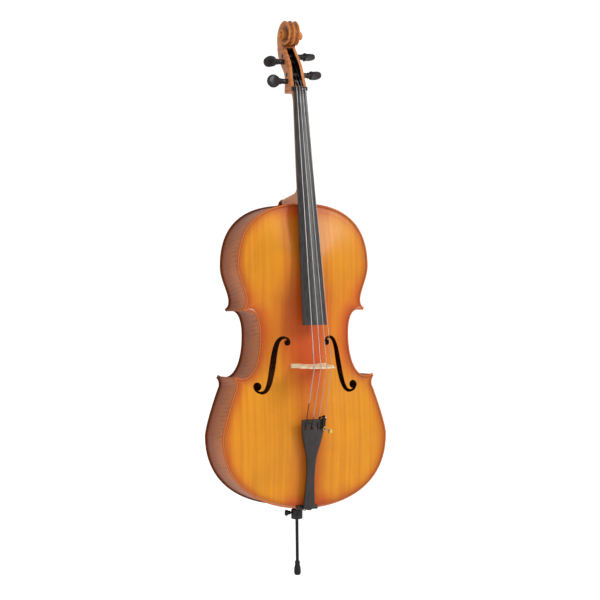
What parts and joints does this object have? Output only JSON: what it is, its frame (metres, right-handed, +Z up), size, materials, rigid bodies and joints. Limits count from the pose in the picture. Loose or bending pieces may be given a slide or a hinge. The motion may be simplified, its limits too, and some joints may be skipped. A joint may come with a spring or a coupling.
{
  "type": "cello",
  "caption": "Bowed string instrument held upright: hollow arched body with f-holes, neck with pegbox and scroll, fittings for four strings, sliding endpin.",
  "frame": {"origin": "flat foot of the endpin's rubber tip, at the middle, with the endpin drawn out as stored", "axes": "+Z up along the endpin's axis, towards the scroll; -Y out of the front plate, towards the player's bow; -X the bass side, where the C string is"},
  "size_m": [0.44, 0.2702, 1.3876],
  "materials": {
    "spruce_front": "gloss varnish over spruce",
    "maple_back": "gloss varnish over flamed maple",
    "maple_ribs": "gloss varnish over flamed maple",
    "maple_neck": "gloss varnish over maple",
    "bare_wood": "bare",
    "ebony": "satin",
    "bridge_maple": "bare, waxed",
    "string_steel": "wound steel",
    "gut_cord": "satin",
    "black_metal": "black satin",
    "steel": "brushed",
    "gold_metal": "polished",
    "rubber": "matte"
  },
  "bodies": {
    "body": {"front_plate": "spruce_front", "back_plate": "maple_back", "upper_rib_bass": "maple_ribs", "upper_rib_treble": "maple_ribs", "waist_rib_bass": "maple_ribs", "waist_rib_treble": "maple_ribs", "lower_rib_bass": "maple_ribs", "lower_rib_treble": "maple_ribs", "top_block": "bare_wood", "bottom_block": "bare_wood", "upper_corner_block_bass": "bare_wood", "upper_corner_block_treble": "bare_wood", "lower_corner_block_bass": "bare_wood", "lower_corner_block_treble": "bare_wood", "upper_front_lining_bass": "bare_wood", "upper_front_lining_treble": "bare_wood", "upper_back_lining_bass": "bare_wood", "upper_back_lining_treble": "bare_wood", "waist_front_lining_bass": "bare_wood", "waist_front_lining_treble": "bare_wood", "waist_back_lining_bass": "bare_wood", "waist_back_lining_treble": "bare_wood", "lower_front_lining_bass": "bare_wood", "lower_front_lining_treble": "bare_wood", "lower_back_lining_bass": "bare_wood", "lower_back_lining_treble": "bare_wood", "bass_bar": "bare_wood", "sound_post": "bare_wood", "neck_and_scroll": "maple_neck", "fingerboard": "ebony", "nut": "ebony", "bridge": "bridge_maple", "saddle": "ebony", "endpin_collar": "ebony", "tailpiece": "ebony", "tailpiece_fret": "ebony", "tailgut": "gut_cord", "tuner_bracket": "black_metal", "tuner_nut": "gold_metal", "c_string": "string_steel", "g_string": "string_steel", "d_string": "string_steel", "a_string": "string_steel"},
    "c_peg_turning": {"c_peg": "ebony", "c_string_winding": "string_steel"},
    "g_peg_turning": {"g_peg": "ebony", "g_string_winding": "string_steel"},
    "d_peg_turning": {"d_peg": "ebony", "d_string_winding": "string_steel"},
    "a_peg_turning": {"a_peg": "ebony", "a_string_winding": "string_steel"},
    "endpin": {"endpin_rod": "black_metal", "endpin_tip": "rubber"},
    "clamp_shank": {"clamp_screw_shank": "black_metal"},
    "clamp_wing": {"clamp_screw_wing": "black_metal"},
    "tuner_screw_shank": {"tuner_screw": "steel"},
    "tuner_knob_turning": {"tuner_knob": "gold_metal"},
    "tuner_lever_tilting": {"tuner_lever": "black_metal"}
  },
  "joints": [
    {"name": "c_peg_turn", "type": "hinge", "parent": "body", "child": "c_peg_turning", "pos_m": [0, -0.02, 1.232], "axis": [1, 0, 0], "continuous": true},
    {"name": "g_peg_turn", "type": "hinge", "parent": "body", "child": "g_peg_turning", "pos_m": [0, 0.008, 1.284], "axis": [1, 0, 0], "continuous": true},
    {"name": "d_peg_turn", "type": "hinge", "parent": "body", "child": "d_peg_turning", "pos_m": [0, 0.018, 1.299], "axis": [1, 0, 0], "continuous": true},
    {"name": "a_peg_turn", "type": "hinge", "parent": "body", "child": "a_peg_turning", "pos_m": [0, -0.015, 1.249], "axis": [1, 0, 0], "continuous": true},
    {"name": "endpin_slide", "type": "slide", "parent": "body", "child": "endpin", "axis": [0, 0, 1], "range_m": [-0.28, 0.1]},
    {"name": "clamp_shank_slide", "type": "slide", "parent": "body", "child": "clamp_shank", "axis": [-1, 0, 0], "range_m": [0, 0.0035]},
    {"name": "clamp_wing_turn", "type": "hinge", "parent": "clamp_shank", "child": "clamp_wing", "pos_m": [-0.025, 0, 0.157], "axis": [1, 0, 0], "range_deg": [0, 1080]},
    {"name": "tuner_screw_slide", "type": "slide", "parent": "body", "child": "tuner_screw_shank", "axis": [-0.1987, 0.9605, 0.1947], "range_m": [-0.0012, 0.0012]},
    {"name": "tuner_knob_turn", "type": "hinge", "parent": "tuner_screw_shank", "child": "tuner_knob_turning", "pos_m": [0.02956, -0.14707, 0.36638], "axis": [-0.1987, 0.9605, 0.1947], "range_deg": [-720, 720]},
    {"name": "tuner_lever_tilt", "type": "hinge", "parent": "body", "child": "tuner_lever_tilting", "pos_m": [0.023, -0.12054, 0.39829], "axis": [0.9801, 0.1947, 0.0395], "range_deg": [-2.6, 2.6]}
  ],
  "couplings": [
    {"joint": "clamp_shank_slide", "follows": "clamp_wing_turn", "m_per_rad": 0.00015915},
    {"joint": "tuner_screw_slide", "follows": "tuner_knob_turn", "m_per_rad": 0.000079577},
    {"joint": "tuner_lever_tilt", "follows": "tuner_knob_turn", "ratio": 0.0030607}
  ]
}
